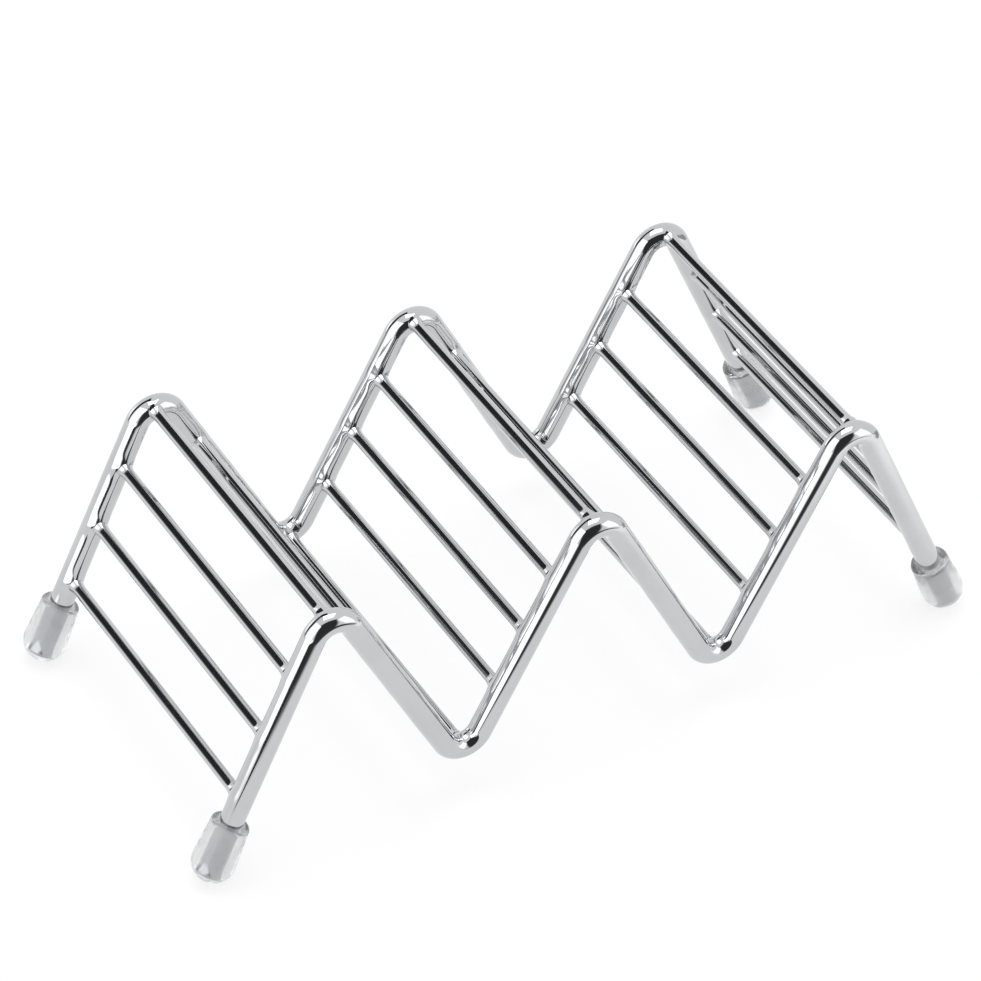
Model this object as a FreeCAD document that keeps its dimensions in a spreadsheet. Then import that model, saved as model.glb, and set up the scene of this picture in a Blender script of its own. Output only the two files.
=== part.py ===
import FreeCAD, Part
import math
import os
import Sketcher
from FreeCAD import Placement, Rotation, Vector

# Wire stand with three peaks and two valleys between them.
# Frame: X along the zigzag, Y across it from the front wire to the back wire, Z up.
# The origin is on the table, midway between the four feet. Lengths are in millimetres.

SIZES = {
    # Round wire
    "side_wire_diameter": 6.6,
    "cross_rod_diameter": 3.4,
    # Zigzag of the side wires: spacing, pitch and foot spread are to centre lines
    "wire_spacing": 98.0,
    "peak_pitch": 78.5,
    "peak_height": 77.2,
    "valley_clearance": 10.4,
    "bend_radius": 6.1,
    "foot_spread": 226.5,
    "wire_end_chamfer": 0.5,
    # Places of the cross rods: along the straight runs, and round the bends in degrees from the top
    "bend_to_rod": 13.0,
    "rod_to_cap": 7.5,
    "outer_crest_turn": 11.0,
    "middle_crest_turn": 8.0,
    "crest_weld_inset": 0.3,
    # Weld that flares out at each end of a rod
    "weld_flare": 0.45,
    "weld_run": 2.8,
    # Foot caps of soft clear plastic
    "cap_diameter": 12.0,
    "cap_mouth_diameter": 10.7,
    "cap_length": 18.5,
    "cap_end_wall": 3.0,
    "cap_lip_radius": 0.9,
    "cap_bore_clearance": 0.05,
    "cap_contact_depth": 0.25,
}

# What follows from the sizes. A lean is an angle from the vertical.
FORMULAS = {
    "wire_radius": "side_wire_diameter / 2",
    "rod_radius": "cross_rod_diameter / 2",
    "half_spacing": "wire_spacing / 2",
    "half_pitch": "peak_pitch / 2",
    "peak_centre_z": "peak_height - wire_radius - bend_radius",
    "valley_centre_z": "valley_clearance + wire_radius + bend_radius",
    "valley_rod_z": "valley_centre_z - bend_radius",
    # A slope is the straight run between a peak bend and a valley bend that turn opposite ways
    "bend_drop": "peak_centre_z - valley_centre_z",
    "bend_span": "sqrt(half_pitch ^ 2 + bend_drop ^ 2)",
    "slope_lean": "atan(half_pitch / bend_drop) - asin(2 * bend_radius / bend_span)",
    "slope_length": "sqrt(bend_span ^ 2 - 4 * bend_radius ^ 2)",
    "slope_rod_pitch": "slope_length / 2 - bend_to_rod",
    # A leg is the straight run from an outer peak bend to the middle of the foot's round end
    "foot_radius": "cap_diameter / 2",
    "foot_x": "foot_spread / 2",
    "foot_z": "foot_radius - cap_contact_depth",
    "leg_reach": "foot_x - peak_pitch",
    "leg_drop": "peak_centre_z - foot_z",
    "leg_span": "sqrt(leg_reach ^ 2 + leg_drop ^ 2)",
    "leg_lean": "atan(leg_reach / leg_drop) - asin(bend_radius / leg_span)",
    "leg_length": "sqrt(leg_span ^ 2 - bend_radius ^ 2)",
    "cap_wall_length": "cap_length - foot_radius",
    "leg_rod_pitch": "(leg_length - cap_wall_length - rod_to_cap - bend_to_rod) / 2",
    # The wire's end stands on the bottom of the cap's bore
    "bore_past_foot": "foot_radius - cap_end_wall",
    "wire_end_x": "foot_x + bore_past_foot * sin(leg_lean)",
    "wire_end_z": "foot_z - bore_past_foot * cos(leg_lean)",
    "cap_mouth_radius": "cap_mouth_diameter / 2",
    "cap_bore_radius": "wire_radius + cap_bore_clearance",
    # Each rod ends on the inner faces of the side wires
    "rod_clear_half": "half_spacing - wire_radius",
    "weld_start": "rod_clear_half - weld_run",
    "weld_radius": "rod_radius + weld_flare",
    # Crest rods lie as far out on their bend as their welds allow
    "crest_rod_offset": "bend_radius + wire_radius - weld_radius - crest_weld_inset",
}

# Ends of a line or an arc, and the middle of an arc, as the sketches number them
START, END, CENTRE = range(1, 4)
# A sketch's own axes, level and upright, and its origin point
LEVEL_AXIS, UP_AXIS = -1, -2
ORIGIN = (LEVEL_AXIS, START)

ALONG_Y = Vector(0, 1, 0)

doc = FreeCAD.newDocument("taco_holder")
sheet = doc.addObject("Spreadsheet::Sheet", "sizes")
pieces = []


def fill_sheet():
    """One row for each size and each formula, with its name as the cell's alias."""
    cells = {name: str(number) for name, number in SIZES.items()}
    cells.update({name: "=" + formula for name, formula in FORMULAS.items()})
    for row, (name, cell) in enumerate(cells.items(), start=1):
        sheet.set(f"A{row}", name)
        sheet.set(f"B{row}", cell)
        sheet.setAlias(f"B{row}", name)
    doc.recompute()


def work_out(formula):
    """The number that a formula gives: millimetres, or degrees for an angle."""
    answer = sheet.evalExpression(formula)
    return float(getattr(answer, "Value", answer))


def size(name):
    return work_out("sizes." + name)


def new_sketch(body, name, role):
    """A sketch on one of the body's own origin planes."""
    sketch = body.newObject("Sketcher::SketchObject", name)
    plane = next(feature for feature in body.Origin.OriginFeatures if feature.Role == role)
    sketch.AttachmentSupport = [(plane, "")]
    sketch.MapMode = "FlatFace"
    return sketch


def tie(sketch, kind, *places):
    sketch.addConstraint(Sketcher.Constraint(kind, *places))


def drive(sketch, kind, *places, by):
    """Add a dimension to a sketch and bind it to a formula."""
    number = sketch.addConstraint(Sketcher.Constraint(kind, *places, work_out(by)))
    sketch.setExpression(f"Constraints[{number}]", by)


def locate(sketch, geometry, point, across=None, up=None):
    """Dimension a sketch point from the sketch's origin, for whichever directions are given."""
    if across:
        drive(sketch, "DistanceX", *ORIGIN, geometry, point, by=across)
    if up:
        drive(sketch, "DistanceY", *ORIGIN, geometry, point, by=up)


def add_line(sketch, start, end):
    return sketch.addGeometry(Part.LineSegment(Vector(*start), Vector(*end)))


def add_arc(sketch, centre, radius, start_angle, end_angle):
    """A counter-clockwise arc between two angles in radians."""
    circle = Part.Circle(Vector(*centre), Vector(0, 0, 1), radius)
    return sketch.addGeometry(Part.ArcOfCircle(circle, start_angle, end_angle))


def place(piece, x="0", y="0", z="0"):
    piece.setExpression(".Placement.Base.x", x)
    piece.setExpression(".Placement.Base.y", y)
    piece.setExpression(".Placement.Base.z", z)


def keep(piece, name):
    """Mark a finished sub-part."""
    piece.Label = name
    pieces.append(piece)


def cut_away(base, tool, name):
    cut = doc.addObject("Part::Cut", name + "_cut")
    cut.Base = base
    cut.Tool = tool
    keep(cut, name)


def draw_zigzag(sketch):
    """Six straight runs joined by five bends, from the left foot to the right foot."""
    half_pitch = size("half_pitch")
    peak_z = size("peak_centre_z")
    valley_z = size("valley_centre_z")
    radius = size("bend_radius")
    leg_lean = math.radians(size("leg_lean"))
    slope_lean = math.radians(size("slope_lean"))
    foot_end = (size("wire_end_x"), size("wire_end_z"))
    centres = [
        (-2 * half_pitch, peak_z),
        (-half_pitch, valley_z),
        (0, peak_z),
        (half_pitch, valley_z),
        (2 * half_pitch, peak_z),
    ]
    leans = [leg_lean] + [slope_lean] * 4 + [leg_lean]
    corners = [(-foot_end[0], foot_end[1])]
    bends = []
    for number, (centre_x, centre_z) in enumerate(centres):
        before, after = leans[number], leans[number + 1]
        is_peak = number % 2 == 0
        left, right = (math.pi - before, after) if is_peak else (math.pi + before, math.tau - after)
        bends.append(add_arc(sketch, (centre_x, centre_z), radius, min(left, right), max(left, right)))
        for turn in (left, right):
            corners.append((centre_x + radius * math.cos(turn), centre_z + radius * math.sin(turn)))
    corners.append(foot_end)
    runs = [add_line(sketch, *corners[first:first + 2]) for first in range(0, len(corners), 2)]
    for number, bend in enumerate(bends):
        left, right = (END, START) if number % 2 == 0 else (START, END)
        tie(sketch, "Tangent", runs[number], END, bend, left)
        tie(sketch, "Tangent", bend, right, runs[number + 1], START)
    drive(sketch, "Radius", bends[0], by="sizes.bend_radius")
    for bend in bends[1:]:
        tie(sketch, "Equal", bends[0], bend)
    first_peak, first_valley, middle_peak, last_valley, last_peak = bends
    tie(sketch, "Symmetric", first_peak, CENTRE, last_peak, CENTRE, UP_AXIS)
    tie(sketch, "Symmetric", first_valley, CENTRE, last_valley, CENTRE, UP_AXIS)
    tie(sketch, "Symmetric", runs[0], START, runs[-1], END, UP_AXIS)
    tie(sketch, "PointOnObject", middle_peak, CENTRE, UP_AXIS)
    locate(sketch, middle_peak, CENTRE, up="sizes.peak_centre_z")
    locate(sketch, last_peak, CENTRE, across="sizes.peak_pitch", up="sizes.peak_centre_z")
    locate(sketch, last_valley, CENTRE, across="sizes.half_pitch", up="sizes.valley_centre_z")
    locate(sketch, runs[-1], END, across="sizes.wire_end_x", up="sizes.wire_end_z")


def draw_wire_section(sketch):
    """The wire's round section at its left end, square to the left leg."""
    sketch.AttachmentOffset = Placement(Vector(), Rotation(ALONG_Y, size("leg_lean")))
    sketch.setExpression(".AttachmentOffset.Rotation.Angle", "sizes.leg_lean")
    sketch.setExpression(".AttachmentOffset.Base.x", "-sizes.wire_end_x")
    sketch.setExpression(".AttachmentOffset.Base.z", "sizes.wire_end_z")
    circle = sketch.addGeometry(Part.Circle(Vector(), Vector(0, 0, 1), size("wire_radius")))
    tie(sketch, "Coincident", circle, CENTRE, *ORIGIN)
    drive(sketch, "Diameter", circle, by="sizes.side_wire_diameter")


def make_side_wire(name, y):
    """One length of round wire bent into the zigzag, with both cut ends chamfered."""
    body = doc.addObject("PartDesign::Body", name)
    path = new_sketch(body, name + "_path", "XZ_Plane")
    draw_zigzag(path)
    section = new_sketch(body, name + "_section", "XY_Plane")
    draw_wire_section(section)
    wire = body.newObject("PartDesign::AdditivePipe", name + "_bent")
    wire.Profile = section
    wire.Spine = path
    doc.recompute()
    ends = [face for face in wire.Shape.Faces if isinstance(face.Surface, Part.Plane)]
    rims = [
        f"Edge{number}"
        for number, edge in enumerate(wire.Shape.Edges, start=1)
        if any(edge.isSame(rim) for face in ends for rim in face.Edges)
    ]
    chamfer = body.newObject("PartDesign::Chamfer", name + "_ends")
    chamfer.Base = (wire, rims)
    chamfer.setExpression("Size", "sizes.wire_end_chamfer")
    body.Tip = chamfer
    place(body, y=y)
    keep(body, name)
    return body


def draw_half_rod(sketch):
    """Half the profile of a rod, from its middle to past the wire's face, with its flared weld."""
    rod = size("rod_radius")
    weld = size("weld_radius")
    start = size("weld_start")
    face = size("rod_clear_half")
    past = size("half_spacing")
    run = size("weld_run")
    flare = size("weld_flare")
    hollow = (run ** 2 + flare ** 2) / (2 * flare)
    sweep = math.asin(run / hollow)
    middle = add_line(sketch, (0, 0), (rod, 0))
    side = add_line(sketch, (rod, 0), (rod, start))
    flared = add_arc(sketch, (rod + hollow, start), hollow, math.pi - sweep, math.pi)
    collar = add_line(sketch, (weld, face), (weld, past))
    end = add_line(sketch, (weld, past), (0, past))
    axis = add_line(sketch, (0, past), (0, 0))
    tie(sketch, "Coincident", middle, START, *ORIGIN)
    tie(sketch, "Coincident", middle, END, side, START)
    tie(sketch, "Tangent", side, END, flared, END)
    tie(sketch, "Coincident", flared, START, collar, START)
    tie(sketch, "Coincident", collar, END, end, START)
    tie(sketch, "Coincident", end, END, axis, START)
    tie(sketch, "Coincident", axis, END, middle, START)
    for level in (middle, end):
        tie(sketch, "Horizontal", level)
    for upright in (side, collar, axis):
        tie(sketch, "Vertical", upright)
    locate(sketch, side, END, across="sizes.rod_radius", up="sizes.weld_start")
    locate(sketch, collar, START, across="sizes.weld_radius", up="sizes.rod_clear_half")
    locate(sketch, collar, END, up="sizes.half_spacing")


def make_rod(name, x, z, side_wires):
    """A round rod along Y, its flared ends coped to the side wires that it is welded to."""
    body = doc.addObject("PartDesign::Body", name + "_blank")
    profile = new_sketch(body, name + "_profile", "XY_Plane")
    draw_half_rod(profile)
    half = body.newObject("PartDesign::Revolution", name + "_half")
    half.Profile = profile
    half.ReferenceAxis = (profile, ["V_Axis"])
    whole = body.newObject("PartDesign::Mirrored", name + "_whole")
    whole.Originals = [half]
    middle = next(feature for feature in body.Origin.OriginFeatures if feature.Role == "XZ_Plane")
    whole.MirrorPlane = (middle, [""])
    body.Tip = whole
    place(body, x=x, z=z)
    cut_away(body, side_wires, name)


def make_crest_rods(side_wires):
    """One rod over each peak, a little to one side of the bend's top."""
    places = {
        "left": ("-sizes.peak_pitch", "-sizes.outer_crest_turn"),
        "middle": ("0", "-sizes.middle_crest_turn"),
        "right": ("sizes.peak_pitch", "sizes.outer_crest_turn"),
    }
    for where, (peak_x, turn) in places.items():
        x = f"{peak_x} + sizes.crest_rod_offset * sin({turn})"
        z = f"sizes.peak_centre_z + sizes.crest_rod_offset * cos({turn})"
        make_rod(f"crest_rod_{where}", x, z, side_wires)


def make_valley_rods(side_wires):
    for where, x in {"left": "-sizes.half_pitch", "right": "sizes.half_pitch"}.items():
        make_rod(f"valley_rod_{where}", x, "sizes.valley_rod_z", side_wires)


def make_run_rods(run, peak_x, outward, lean, pitch, side_wires):
    """Three rods down one straight run, which leaves its peak bend on the outward side."""
    for step, level in enumerate(("upper", "middle", "lower")):
        down = f"(sizes.bend_to_rod + {step} * {pitch})"
        x = f"{peak_x} + {outward} * (sizes.bend_radius * cos({lean}) + {down} * sin({lean}))"
        z = f"sizes.peak_centre_z + sizes.bend_radius * sin({lean}) - {down} * cos({lean})"
        make_rod(f"{run}_{level}", x, z, side_wires)


def make_all_run_rods(side_wires):
    leg = ("sizes.leg_lean", "sizes.leg_rod_pitch")
    slope = ("sizes.slope_lean", "sizes.slope_rod_pitch")
    make_run_rods("leg_rod_left", "-sizes.peak_pitch", -1, *leg, side_wires)
    make_run_rods("slope_rod_left_outer", "-sizes.peak_pitch", 1, *slope, side_wires)
    make_run_rods("slope_rod_left_inner", "0", -1, *slope, side_wires)
    make_run_rods("slope_rod_right_inner", "0", 1, *slope, side_wires)
    make_run_rods("slope_rod_right_outer", "sizes.peak_pitch", -1, *slope, side_wires)
    make_run_rods("leg_rod_right", "sizes.peak_pitch", 1, *leg, side_wires)


def draw_cap(sketch):
    """Half the section of a foot cap: round end below, mouth with a rounded lip above."""
    foot = size("foot_radius")
    mouth = size("cap_mouth_radius")
    lip = size("cap_lip_radius")
    bore = size("cap_bore_radius")
    top = size("cap_wall_length")
    floor = -size("bore_past_foot")
    tip = add_arc(sketch, (0, 0), foot, -math.pi / 2, 0)
    wall = add_line(sketch, (foot, 0), (mouth, top - lip))
    rim = add_arc(sketch, (mouth - lip, top - lip), lip, 0, math.pi / 2)
    face = add_line(sketch, (mouth - lip, top), (bore, top))
    bore_wall = add_line(sketch, (bore, top), (bore, floor))
    bore_floor = add_line(sketch, (bore, floor), (0, floor))
    axis = add_line(sketch, (0, floor), (0, -foot))
    tie(sketch, "Coincident", tip, CENTRE, *ORIGIN)
    tie(sketch, "PointOnObject", tip, START, UP_AXIS)
    tie(sketch, "Tangent", tip, END, wall, START)
    tie(sketch, "Tangent", wall, END, rim, START)
    tie(sketch, "Tangent", rim, END, face, START)
    tie(sketch, "Coincident", face, END, bore_wall, START)
    tie(sketch, "Coincident", bore_wall, END, bore_floor, START)
    tie(sketch, "Coincident", bore_floor, END, axis, START)
    tie(sketch, "Coincident", axis, END, tip, START)
    for level in (face, bore_floor):
        tie(sketch, "Horizontal", level)
    for upright in (bore_wall, axis):
        tie(sketch, "Vertical", upright)
    drive(sketch, "Radius", tip, by="sizes.foot_radius")
    drive(sketch, "Radius", rim, by="sizes.cap_lip_radius")
    locate(sketch, rim, CENTRE, across="sizes.cap_mouth_radius - sizes.cap_lip_radius")
    locate(sketch, bore_wall, START, across="sizes.cap_bore_radius", up="sizes.cap_wall_length")
    drive(sketch, "DistanceY", bore_wall, END, *ORIGIN, by="sizes.bore_past_foot")


def make_foot_cap(name, side, y, table):
    """A blind cap over the wire's end, in line with its leg, with a small flat where it stands."""
    body = doc.addObject("PartDesign::Body", name + "_blank")
    profile = new_sketch(body, name + "_profile", "XZ_Plane")
    draw_cap(profile)
    shell = body.newObject("PartDesign::Revolution", name + "_shell")
    shell.Profile = profile
    shell.ReferenceAxis = (profile, ["V_Axis"])
    body.Tip = shell
    body.Placement = Placement(Vector(), Rotation(-side * ALONG_Y, size("leg_lean")))
    body.setExpression(".Placement.Rotation.Angle", "sizes.leg_lean")
    place(body, x=f"{side} * sizes.foot_x", y=y, z="sizes.foot_z")
    cut_away(body, table, name)


def make_table():
    """The block of space under the feet, which their contact flats are cut with."""
    table = doc.addObject("Part::Box", "table")
    table.setExpression("Length", "2 * sizes.foot_spread")
    table.setExpression("Width", "2 * sizes.wire_spacing")
    table.setExpression("Height", "sizes.cap_diameter")
    place(table, "-sizes.foot_spread", "-sizes.wire_spacing", "-sizes.cap_diameter")
    return table


def make_foot_caps():
    table = make_table()
    for row, y in {"front": "-sizes.half_spacing", "back": "sizes.half_spacing"}.items():
        for where, side in {"left": -1, "right": 1}.items():
            make_foot_cap(f"foot_cap_{row}_{where}", side, y, table)


def check_document():
    """Stop if anything failed quietly, so that no broken solid is written."""
    for item in doc.Objects:
        if {"Invalid", "Error"} & set(item.State):
            raise RuntimeError(f"{item.Label} did not recompute")
    for piece in pieces:
        shape = piece.Shape
        if shape.isNull() or not shape.isValid() or len(shape.Solids) != 1:
            raise RuntimeError(f"{piece.Label} is not one valid solid")


fill_sheet()
front_wire = make_side_wire("side_wire_front", "-sizes.half_spacing")
back_wire = make_side_wire("side_wire_back", "sizes.half_spacing")
both_wires = doc.addObject("Part::Compound", "both_side_wires")
both_wires.Links = [front_wire, back_wire]
make_crest_rods(both_wires)
make_valley_rods(both_wires)
make_all_run_rods(both_wires)
make_foot_caps()
doc.recompute()
check_document()

os.makedirs("parts", exist_ok=True)
for piece in pieces:
    piece.Shape.exportStep(f"parts/{piece.Label}.step")
    print(f"{piece.Label}: {piece.Shape.Volume:.1f} cubic mm")
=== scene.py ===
"""Taco holder: finishes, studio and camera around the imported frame.

The cross rods and the four clear foot caps come from the frame as they are.
The two zigzag side wires are built here again on the same centre line, with
finer bends and with weld metal pooled on them round each rod's end. All of
them get their chrome or clear plastic, and stand on a white table under soft
light, with bright and dark cards for the chrome to mirror.
Lengths are in metres and angles in degrees.
"""
import math

import bpy
from mathutils import Matrix, Quaternion, Vector


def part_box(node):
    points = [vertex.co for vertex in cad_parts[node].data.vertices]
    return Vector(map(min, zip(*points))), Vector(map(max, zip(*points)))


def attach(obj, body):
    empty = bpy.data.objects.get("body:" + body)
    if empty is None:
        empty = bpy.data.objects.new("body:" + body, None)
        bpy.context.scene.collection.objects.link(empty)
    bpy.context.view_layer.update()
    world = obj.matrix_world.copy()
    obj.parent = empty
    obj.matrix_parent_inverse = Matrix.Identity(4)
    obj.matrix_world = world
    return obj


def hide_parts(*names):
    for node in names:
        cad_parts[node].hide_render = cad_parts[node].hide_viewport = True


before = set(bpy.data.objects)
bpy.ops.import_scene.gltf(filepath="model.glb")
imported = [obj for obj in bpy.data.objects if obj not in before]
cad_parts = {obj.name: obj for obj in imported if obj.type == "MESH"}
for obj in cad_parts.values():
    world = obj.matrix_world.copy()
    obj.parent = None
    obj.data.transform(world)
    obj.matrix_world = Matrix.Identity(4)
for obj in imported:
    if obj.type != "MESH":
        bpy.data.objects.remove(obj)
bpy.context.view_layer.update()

# The camera
PHOTO_SIDE = 981                       # pixels, square
FOCAL_PIXELS = 5488.3
SENSOR_WIDTH = 36.0                    # millimetres
CAMERA_TARGET = Vector((-0.00329, 0.0, 0.05074))
CAMERA_DISTANCE = 1.4713
CAMERA_AZIMUTH = 31.09                 # from the front, toward the left
CAMERA_ELEVATION = 40.23
CAMERA_ROLL = 1.73
CLIP_START, CLIP_END = 0.05, 50.0

# The finishes. The marks are values for the inputs of the handled surface group.
CHROME_COLOUR = (0.560, 0.570, 0.585)
SIDE_WIRE_MARKS = {"Roughness": 0.045, "Haze": 0.03, "Shade Change": 0.06,
                   "Wave Scale": 90.0, "Wave Depth": 0.04}
CROSS_ROD_MARKS = {"Roughness": 0.060, "Haze": 0.04, "Shade Change": 0.06,
                   "Wave Scale": 120.0, "Wave Depth": 0.03}
CAP_COLOUR = (0.86, 0.87, 0.88)
CAP_MARKS = {"Roughness": 0.13, "Haze": 0.08, "Shade Change": 0.05,
             "Wave Scale": 260.0, "Wave Depth": 0.30}
CAP_IOR = 1.47
CAP_CLEARNESS = 0.90

# The patches of haze and the waves, as every finish shares them. A larger scale is finer.
HAZE_SCALE = 55.0
HAZE_DETAIL = 5.0
HAZE_BREAKUP = 0.62
HAZE_START, HAZE_FULL = 0.38, 0.72     # values of the noise where a patch starts and is full
WAVE_DETAIL = 2.0
WAVE_HEIGHT = 0.0001                   # of a wave whose depth is 1

# The side wires, for the finer meshes that stand for their two nodes
WIRE_RADIUS = 0.0033
BEND_RADIUS = 0.0061                   # to the centre line
HALF_SPACING = 0.049
PEAK_PITCH = 0.0785
PEAK_TOP_Z = 0.0772
PEAK_CENTRE_Z = PEAK_TOP_Z - WIRE_RADIUS - BEND_RADIUS
VALLEY_CLEARANCE = 0.0104
VALLEY_CENTRE_Z = VALLEY_CLEARANCE + WIRE_RADIUS + BEND_RADIUS
FOOT_X = 0.11325                       # the middle of a cap's round end
FOOT_Z = 0.00575
END_PAST_FOOT = 0.003                  # the wire goes this far beyond that middle
END_CHAMFER = 0.0005
MIDDLE_BEND = 2                        # of the five bends, counted from 0 at the left
RUN_STEP = 0.0007
BEND_STEPS = 48
WIRE_SIDES = 64

# Weld metal pooled on the wire round each rod: its height, and its spread along and round the wire
WELD_LIFT = 0.00045
WELD_ALONG = 0.0024
WELD_ROUND = 0.0032
WELD_REACH = 4 * WELD_ROUND            # no metal is left at this distance
OUTER_FACE = 0.5                       # surfaces that face outward by more than this stay bare

# The table stops close to the holder at its front and left, and the chrome mirrors the dark floor
# past it. Its left edge slants outward toward the back.
TABLE_OUTLINE = (
    (-4.0, 1.0), (-0.27, 0.09), (-0.27, -0.24),
    (4.0, -0.24), (4.0, 4.0), (-4.0, 4.0),
)
TABLE_DROP = 0.0001                    # below the feet, so that no faces meet
TABLE_COLOUR = (0.93, 0.93, 0.93)
TABLE_ROUGHNESS = 0.9
TABLE_WHITENESS = 0.8                  # the share of plain white that hides its shading
SKY_COLOUR = (1.0, 1.0, 1.0)
SKY_STRENGTH = 1.0

# Cards that the chrome mirrors. Standing cards face the card centre.
CARD_CENTRE = Vector((0.0, 0.0, 0.05))
CARD_LIFT = 0.0003                     # of each lying card over the one before
CARD_MIDDLE = 0.5                      # of a card's width or length
SMALLEST_FADE = 0.001
# Name, azimuth, elevation, distance, degrees wide and high, strength, side and end fades, roll
STANDING_CARDS = (
    ("left softbox", -95, 30, 1.4, 66, 52, 2.2, (0.125, 0.05)),
    ("foot of the left softbox", -104, 0.2, 1.38, 63, 12.6, 2.2, (0.10, 0.14)),
    ("right softbox", 135, 20, 1.5, 38, 52, 1.9, (0.20, 0.15)),
    ("dark room in front", -168, 22, 1.8, 70, 76, 0.04, (0.15, 0.075)),
    ("gap over the backdrop", -22.0, 41.3, 1.6, 54, 21, 0.03, (0.05, 0.10), 36),
    ("shade beside the backdrop", -43.0, 18.0, 1.7, 78, 26, 0.02, (0.5, 0.2), 72),
    ("bright panel behind", -28, 7, 1.7, 30, 26, 1.7, (0.15, 0.10)),
)
# Name, starting point, azimuth, start, end, width, strength, side and end fades
LYING_CARDS = (
    ("right softbox on the table", (0, 0, 0), 135, 0.12, 1.2, 0.6, 1.35, (0.15, 0.10)),
    # A grey sheet lying on the table, seen only in reflections: painted shade on the table to the
    # right of the holder.
    ("grey painted shade on the table", (0, 0, 0), 99, 0.25, 1.2, 0.3, 0.45, (0.30, 0.05)),
    ("dark edge of the table", (0, 0, 0), -172, 0.17, 1.2, 0.9, 0.05, (0.35, 0.08)),
    ("dark floor past the table", (-0.1, 0, -0.36), 158, 0.0, 4.0, 8.0, 0.03, (0.01, 0.02)),
)


def link(obj):
    bpy.context.scene.collection.objects.link(obj)
    return obj


def add_node(tree, kind, **settings):
    node = tree.nodes.new(kind)
    for key, value in settings.items():
        setattr(node, key, value)
    return node


def join(tree, output, socket):
    tree.links.new(output, socket)


def add_inputs(group, *inputs):
    """Named inputs of a node group, each with its lowest and highest value."""
    for name, low, high in inputs:
        socket = group.interface.new_socket(name, in_out="INPUT", socket_type="NodeSocketFloat")
        socket.min_value, socket.max_value = low, high


def handled_surface_group():
    """Masks and a normal for a surface that has been polished and handled.

    It puts out a roughness, a shade to multiply the colour by, and a normal
    with a faint waviness.
    """
    group = bpy.data.node_groups.new("handled surface", "ShaderNodeTree")
    add_inputs(group, ("Roughness", 0.0, 1.0), ("Haze", 0.0, 1.0), ("Shade Change", 0.0, 1.0),
               ("Wave Scale", 0.0, 10000.0), ("Wave Depth", 0.0, 1.0))
    group.interface.new_socket("Roughness", in_out="OUTPUT", socket_type="NodeSocketFloat")
    group.interface.new_socket("Shade", in_out="OUTPUT", socket_type="NodeSocketFloat")
    group.interface.new_socket("Normal", in_out="OUTPUT", socket_type="NodeSocketVector")
    given = add_node(group, "NodeGroupInput")
    result = add_node(group, "NodeGroupOutput")
    place = add_node(group, "ShaderNodeTexCoord")

    haze = add_node(group, "ShaderNodeTexNoise")
    haze.inputs["Scale"].default_value = HAZE_SCALE
    haze.inputs["Detail"].default_value = HAZE_DETAIL
    haze.inputs["Roughness"].default_value = HAZE_BREAKUP
    join(group, place.outputs["Object"], haze.inputs["Vector"])
    patches = add_node(group, "ShaderNodeMapRange", interpolation_type="SMOOTHSTEP")
    patches.inputs["From Min"].default_value = HAZE_START
    patches.inputs["From Max"].default_value = HAZE_FULL
    join(group, haze.outputs["Fac"], patches.inputs["Value"])

    dull = add_node(group, "ShaderNodeMath", operation="MULTIPLY_ADD")
    join(group, patches.outputs["Result"], dull.inputs[0])
    join(group, given.outputs["Haze"], dull.inputs[1])
    join(group, given.outputs["Roughness"], dull.inputs[2])
    join(group, dull.outputs["Value"], result.inputs["Roughness"])

    darken = add_node(group, "ShaderNodeMath", operation="MULTIPLY")
    join(group, patches.outputs["Result"], darken.inputs[0])
    join(group, given.outputs["Shade Change"], darken.inputs[1])
    shade = add_node(group, "ShaderNodeMath", operation="SUBTRACT")
    shade.inputs[0].default_value = 1.0
    join(group, darken.outputs["Value"], shade.inputs[1])
    join(group, shade.outputs["Value"], result.inputs["Shade"])

    waves = add_node(group, "ShaderNodeTexNoise")
    waves.inputs["Detail"].default_value = WAVE_DETAIL
    join(group, place.outputs["Object"], waves.inputs["Vector"])
    join(group, given.outputs["Wave Scale"], waves.inputs["Scale"])
    bump = add_node(group, "ShaderNodeBump")
    bump.inputs["Distance"].default_value = WAVE_HEIGHT
    join(group, given.outputs["Wave Depth"], bump.inputs["Strength"])
    join(group, waves.outputs["Fac"], bump.inputs["Height"])
    join(group, bump.outputs["Normal"], result.inputs["Normal"])
    return group


def soft_card_group():
    """A mask that is one inside a card and fades to zero at its edges."""
    group = bpy.data.node_groups.new("soft card", "ShaderNodeTree")
    add_inputs(group, ("Side Fade", SMALLEST_FADE, CARD_MIDDLE),
               ("End Fade", SMALLEST_FADE, CARD_MIDDLE))
    group.interface.new_socket("Cover", in_out="OUTPUT", socket_type="NodeSocketFloat")
    given = add_node(group, "NodeGroupInput")
    result = add_node(group, "NodeGroupOutput")
    place = add_node(group, "ShaderNodeTexCoord")
    split = add_node(group, "ShaderNodeSeparateXYZ")
    join(group, place.outputs["Generated"], split.inputs["Vector"])
    cover = add_node(group, "ShaderNodeMath", operation="MULTIPLY")
    for number, (axis, fade) in enumerate((("X", "Side Fade"), ("Y", "End Fade"))):
        from_edge = add_node(group, "ShaderNodeMath", operation="PINGPONG")
        from_edge.inputs[1].default_value = CARD_MIDDLE
        join(group, split.outputs[axis], from_edge.inputs[0])
        edge = add_node(group, "ShaderNodeMapRange", interpolation_type="SMOOTHSTEP")
        join(group, given.outputs[fade], edge.inputs["From Max"])
        join(group, from_edge.outputs["Value"], edge.inputs["Value"])
        join(group, edge.outputs["Result"], cover.inputs[number])
    join(group, cover.outputs["Value"], result.inputs["Cover"])
    return group


HANDLED_SURFACE = handled_surface_group()
SOFT_CARD = soft_card_group()


def new_material(name):
    """A material, its node tree and its Principled BSDF."""
    material = bpy.data.materials.new(name)
    material.use_nodes = True
    tree = material.node_tree
    return material, tree, tree.nodes["Principled BSDF"]


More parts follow.
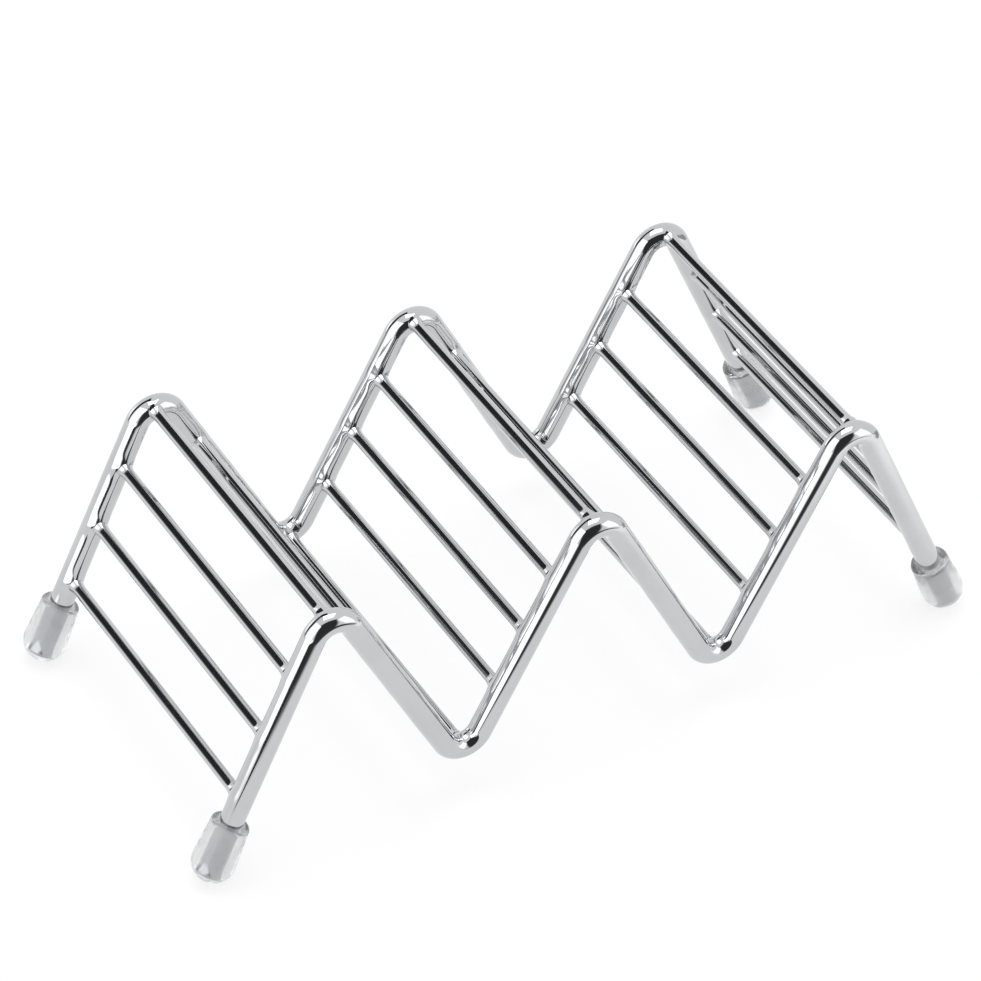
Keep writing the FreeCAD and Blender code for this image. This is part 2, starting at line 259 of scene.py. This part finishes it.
def handled_material(name, colour, marks):
    """A material and its Principled BSDF, with the handled surface group placed in it."""
    material, tree, shader = new_material(name)
    surface = add_node(tree, "ShaderNodeGroup", node_tree=HANDLED_SURFACE)
    for mark, value in marks.items():
        surface.inputs[mark].default_value = value
    tint = add_node(tree, "ShaderNodeMix", data_type="RGBA", blend_type="MULTIPLY")
    tint.inputs["Factor"].default_value = 1.0
    tint.inputs["A"].default_value = (*colour, 1.0)
    join(tree, surface.outputs["Shade"], tint.inputs["B"])
    join(tree, tint.outputs["Result"], shader.inputs["Base Color"])
    join(tree, surface.outputs["Roughness"], shader.inputs["Roughness"])
    join(tree, surface.outputs["Normal"], shader.inputs["Normal"])
    return material, shader


def chrome(name, marks):
    material, shader = handled_material(name, CHROME_COLOUR, marks)
    shader.inputs["Metallic"].default_value = 1.0
    return material


def clear_plastic(name, marks):
    material, shader = handled_material(name, CAP_COLOUR, marks)
    shader.inputs["Transmission Weight"].default_value = CAP_CLEARNESS
    shader.inputs["IOR"].default_value = CAP_IOR
    return material


def add_run(line, x, z, angle):
    """Lengthen the wire's centre line by a straight run to a point."""
    start_x, start_z, _ = line[-1]
    steps = max(1, round(math.hypot(x - start_x, z - start_z) / RUN_STEP))
    for step in range(1, steps + 1):
        share = step / steps
        line.append((start_x + (x - start_x) * share, start_z + (z - start_z) * share, angle))


def bend_point(centre_x, centre_z, rise, angle):
    """A point of a bend where the line has this angle; rise is 1 at a peak, -1 at a valley."""
    return (centre_x - rise * BEND_RADIUS * math.sin(angle),
            centre_z + rise * BEND_RADIUS * math.cos(angle), angle)


def zigzag_line():
    """The bent wire's centre line from left to right: (x, z, its angle from the level).

    A lean is the angle of a straight run from the vertical.
    """
    half_pitch = PEAK_PITCH / 2
    drop = PEAK_CENTRE_Z - VALLEY_CENTRE_Z
    span = math.hypot(half_pitch, drop)
    slope_lean = math.atan2(half_pitch, drop) - math.asin(2 * BEND_RADIUS / span)
    leg_reach, leg_drop = FOOT_X - PEAK_PITCH, PEAK_CENTRE_Z - FOOT_Z
    leg_span = math.hypot(leg_reach, leg_drop)
    leg_lean = math.atan2(leg_reach, leg_drop) - math.asin(BEND_RADIUS / leg_span)
    leans = [leg_lean] + [slope_lean] * 4 + [leg_lean]
    end_x = FOOT_X + END_PAST_FOOT * math.sin(leg_lean)
    end_z = FOOT_Z - END_PAST_FOOT * math.cos(leg_lean)

    line = [(-end_x, end_z, math.pi / 2 - leg_lean)]
    for number, (before, after) in enumerate(zip(leans, leans[1:])):
        is_peak = number % 2 == 0
        rise = 1 if is_peak else -1
        bend = ((number - MIDDLE_BEND) * half_pitch,
                PEAK_CENTRE_Z if is_peak else VALLEY_CENTRE_Z, rise)
        start, end = rise * (math.pi / 2 - before), rise * (after - math.pi / 2)
        add_run(line, *bend_point(*bend, start))
        for step in range(1, BEND_STEPS + 1):
            line.append(bend_point(*bend, start + (end - start) * step / BEND_STEPS))
    add_run(line, end_x, end_z, leg_lean - math.pi / 2)
    return line


def chamfered_end(x, z, angle, inward):
    """A wire end's face, and the place further in where the wire has its full radius."""
    step = inward * END_CHAMFER
    return [(x, z, angle, WIRE_RADIUS - END_CHAMFER),
            (x + step * math.cos(angle), z + step * math.sin(angle), angle, WIRE_RADIUS)]


def wire_stations():
    """The points of the centre line, each with the wire's radius there."""
    first, *between, last = zigzag_line()
    return [*chamfered_end(*first, 1), *((*point, WIRE_RADIUS) for point in between),
            *reversed(chamfered_end(*last, -1))]


def weld_points(inner_y):
    """Where each rod's end meets the inner face of a side wire."""
    points = []
    for rod in (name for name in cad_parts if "rod" in name):
        low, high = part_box(rod)
        points.append(Vector(((low[0] + high[0]) / 2, inner_y, (low[2] + high[2]) / 2)))
    return points


def weld_lift(point, along, welds):
    """How far the pooled weld metal raises the wire's surface at a point."""
    lift = 0.0
    for weld in welds:
        offset = point - weld
        if offset.length < WELD_REACH:
            down = offset.dot(along)
            around = max(0.0, offset.length_squared - down ** 2)
            lift = max(lift, math.exp(-(down / WELD_ALONG) ** 2 - around / WELD_ROUND ** 2))
    return WELD_LIFT * lift


def wire_ring(x, z, angle, radius, side, welds):
    """The wire's surface round one point of its centre line, with the weld metal on it."""
    centre = Vector((x, side * HALF_SPACING, z))
    along = Vector((math.cos(angle), 0, math.sin(angle)))
    up = Vector((-math.sin(angle), 0, math.cos(angle)))
    ring = []
    for step in range(WIRE_SIDES):
        turn = math.tau * step / WIRE_SIDES
        outward = up * math.cos(turn) + Vector((0, -1, 0)) * math.sin(turn)
        point = centre + outward * radius
        if outward.y * side < OUTER_FACE:
            # The metal thins out near the top of a peak, so that none stands above it
            room = max(0.0, min(1.0, (PEAK_TOP_Z - point.z) / WELD_LIFT))
            point += outward * weld_lift(point, along, welds) * room
        ring.append(point)
    return ring


def joined_rings(rings, around):
    """Faces between neighbouring rings of vertices, with a face over each end."""
    faces = []
    for ring in range(rings - 1):
        for step in range(around):
            a, b = ring * around + step, ring * around + (step + 1) % around
            faces.append((a, b, b + around, a + around))
    faces.append(tuple(reversed(range(around))))
    faces.append(tuple(range((rings - 1) * around, rings * around)))
    return faces


def smooth_mesh(name, vertices, faces, finish):
    mesh = bpy.data.meshes.new(name)
    mesh.from_pydata(vertices, [], faces)
    mesh.shade_smooth()
    mesh.materials.append(finish)
    return link(bpy.data.objects.new(name, mesh))


def side_wire(name, side, finish):
    """The bent wire with smooth bends, and with weld metal pooled on it round each rod's end."""
    welds = weld_points(side * (HALF_SPACING - WIRE_RADIUS))
    stations = wire_stations()
    vertices = [point for station in stations for point in wire_ring(*station, side, welds)]
    piece = smooth_mesh(name, vertices, joined_rings(len(stations), WIRE_SIDES), finish)
    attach(piece, "root")
    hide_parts(name)


def finish_nodes():
    wire_chrome = chrome("side wire chrome", SIDE_WIRE_MARKS)
    rod_chrome = chrome("cross rod chrome", CROSS_ROD_MARKS)
    plastic = clear_plastic("clear cap plastic", CAP_MARKS)
    for name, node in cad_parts.items():
        for slot in node.material_slots:
            slot.material = plastic if name.startswith("foot_cap") else rod_chrome
    side_wire("side_wire_front", -1, wire_chrome)
    side_wire("side_wire_back", 1, wire_chrome)


def flat_sheet(name, outline):
    """A sheet in its own XY plane, facing +Z."""
    mesh = bpy.data.meshes.new(name)
    mesh.from_pydata([(x, y, 0) for x, y in outline], [], [tuple(range(len(outline)))])
    return link(bpy.data.objects.new(name, mesh))


def seen_directly(tree):
    """One for a ray from the camera, from a reflection or through clear plastic."""
    path = add_node(tree, "ShaderNodeLightPath")
    seen = path.outputs["Is Camera Ray"]
    for kind in ("Is Glossy Ray", "Is Transmission Ray"):
        either = add_node(tree, "ShaderNodeMath", operation="MAXIMUM")
        join(tree, seen, either.inputs[0])
        join(tree, path.outputs[kind], either.inputs[1])
        seen = either.outputs["Value"]
    return seen


def table():
    """White to the camera, the chrome and the plastic, with a share of its own soft shadow."""
    floor = flat_sheet("white table", TABLE_OUTLINE)
    floor.location.z = -TABLE_DROP
    material, tree, shader = new_material("white table")
    shader.inputs["Base Color"].default_value = (*TABLE_COLOUR, 1.0)
    shader.inputs["Roughness"].default_value = TABLE_ROUGHNESS
    share = add_node(tree, "ShaderNodeMath", operation="MULTIPLY")
    share.inputs[1].default_value = TABLE_WHITENESS
    join(tree, seen_directly(tree), share.inputs[0])
    white = add_node(tree, "ShaderNodeEmission")
    mix = add_node(tree, "ShaderNodeMixShader")
    join(tree, share.outputs["Value"], mix.inputs["Fac"])
    join(tree, shader.outputs["BSDF"], mix.inputs[1])
    join(tree, white.outputs["Emission"], mix.inputs[2])
    join(tree, mix.outputs["Shader"], tree.nodes["Material Output"].inputs["Surface"])
    floor.data.materials.append(material)


def sky():
    world = bpy.data.worlds.new("white studio")
    bpy.context.scene.world = world
    world.use_nodes = True
    background = world.node_tree.nodes["Background"]
    background.inputs["Color"].default_value = (*SKY_COLOUR, 1.0)
    background.inputs["Strength"].default_value = SKY_STRENGTH


def direction(azimuth, elevation):
    """Unit vector; azimuth runs from the back (+Y) toward the right (+X)."""
    a, e = math.radians(azimuth), math.radians(elevation)
    return Vector((math.sin(a) * math.cos(e), math.cos(a) * math.cos(e), math.sin(e)))


def soft_light(name, azimuth, elevation, distance, size, power):
    data = bpy.data.lights.new(name, "AREA")
    data.shape = "SQUARE"
    data.size = size
    data.energy = power
    lamp = link(bpy.data.objects.new(name, data))
    ray = direction(azimuth, elevation)
    lamp.location = ray * distance
    lamp.rotation_euler = ray.to_track_quat("Z", "Y").to_euler()
    lamp.visible_camera = False


def card_sheet(name, width, height):
    x, y = width / 2, height / 2
    return flat_sheet(name, ((-x, -y), (x, -y), (x, y), (-x, y)))


def card_material(name, strength, fades):
    """A glow that fades to nothing at the card's edges."""
    material = bpy.data.materials.new(name)
    material.use_nodes = True
    tree = material.node_tree
    tree.nodes.clear()
    cover = add_node(tree, "ShaderNodeGroup", node_tree=SOFT_CARD)
    cover.inputs["Side Fade"].default_value, cover.inputs["End Fade"].default_value = fades
    glow = add_node(tree, "ShaderNodeEmission")
    glow.inputs["Strength"].default_value = strength
    clear = add_node(tree, "ShaderNodeBsdfTransparent")
    mix = add_node(tree, "ShaderNodeMixShader")
    out = add_node(tree, "ShaderNodeOutputMaterial")
    join(tree, cover.outputs["Cover"], mix.inputs["Fac"])
    join(tree, clear.outputs["BSDF"], mix.inputs[1])
    join(tree, glow.outputs["Emission"], mix.inputs[2])
    join(tree, mix.outputs["Shader"], out.inputs["Surface"])
    return material


def finish_card(card, strength, fades):
    """Give a card its glow, and leave it only in reflections and behind clear plastic."""
    card.data.materials.append(card_material(card.name, strength, fades))
    card.visible_camera = False
    card.visible_diffuse = False
    card.visible_shadow = False
    card.visible_volume_scatter = False


def standing_card(name, azimuth, elevation, distance, wide, high, strength, fades, roll=0.0):
    """A card that faces the holder and covers the given degrees of its view."""
    card = card_sheet(name, 2 * distance * math.tan(math.radians(wide / 2)),
                      2 * distance * math.tan(math.radians(high / 2)))
    ray = direction(azimuth, elevation)
    card.location = ray * distance + CARD_CENTRE
    facing = (-ray).to_track_quat("Z", "Y")
    card.rotation_euler = (facing @ Quaternion((0, 0, 1), math.radians(roll))).to_euler()
    finish_card(card, strength, fades)


def lying_card(layer, name, origin, azimuth, near, far, width, strength, fades):
    """A level card, which starts at one distance from a point and ends at another."""
    card = card_sheet(name, width, far - near)
    lift = Vector((0, 0, layer * CARD_LIFT))
    card.location = direction(azimuth, 0) * (near + far) / 2 + Vector(origin) + lift
    card.rotation_euler = (0, 0, -math.radians(azimuth))
    finish_card(card, strength, fades)


def photo_camera():
    azimuth, elevation = math.radians(CAMERA_AZIMUTH), math.radians(CAMERA_ELEVATION)
    away = Vector((-math.sin(azimuth) * math.cos(elevation),
                   -math.cos(azimuth) * math.cos(elevation),
                   math.sin(elevation)))
    right = (-away).cross(Vector((0, 0, 1))).normalized()
    up = right.cross(-away)
    roll = math.radians(CAMERA_ROLL)
    x_axis = right * math.cos(roll) + up * math.sin(roll)
    y_axis = up * math.cos(roll) - right * math.sin(roll)
    data = bpy.data.cameras.new("photo camera")
    data.sensor_width = SENSOR_WIDTH
    data.lens = FOCAL_PIXELS * SENSOR_WIDTH / PHOTO_SIDE
    data.clip_start, data.clip_end = CLIP_START, CLIP_END
    camera = link(bpy.data.objects.new("photo camera", data))
    camera.matrix_world = (Matrix.Translation(CAMERA_TARGET + away * CAMERA_DISTANCE)
                           @ Matrix((x_axis, y_axis, away)).transposed().to_4x4())
    bpy.context.scene.camera = camera


finish_nodes()
table()
sky()
soft_light("overhead softbox", azimuth=20, elevation=80, distance=2.0, size=1.2, power=12.0)
for name, *place in STANDING_CARDS:
    standing_card(name, *place)
for layer, (name, *place) in enumerate(LYING_CARDS, start=1):
    lying_card(layer, name, *place)
photo_camera()
bpy.context.scene.view_settings.view_transform = "Standard"
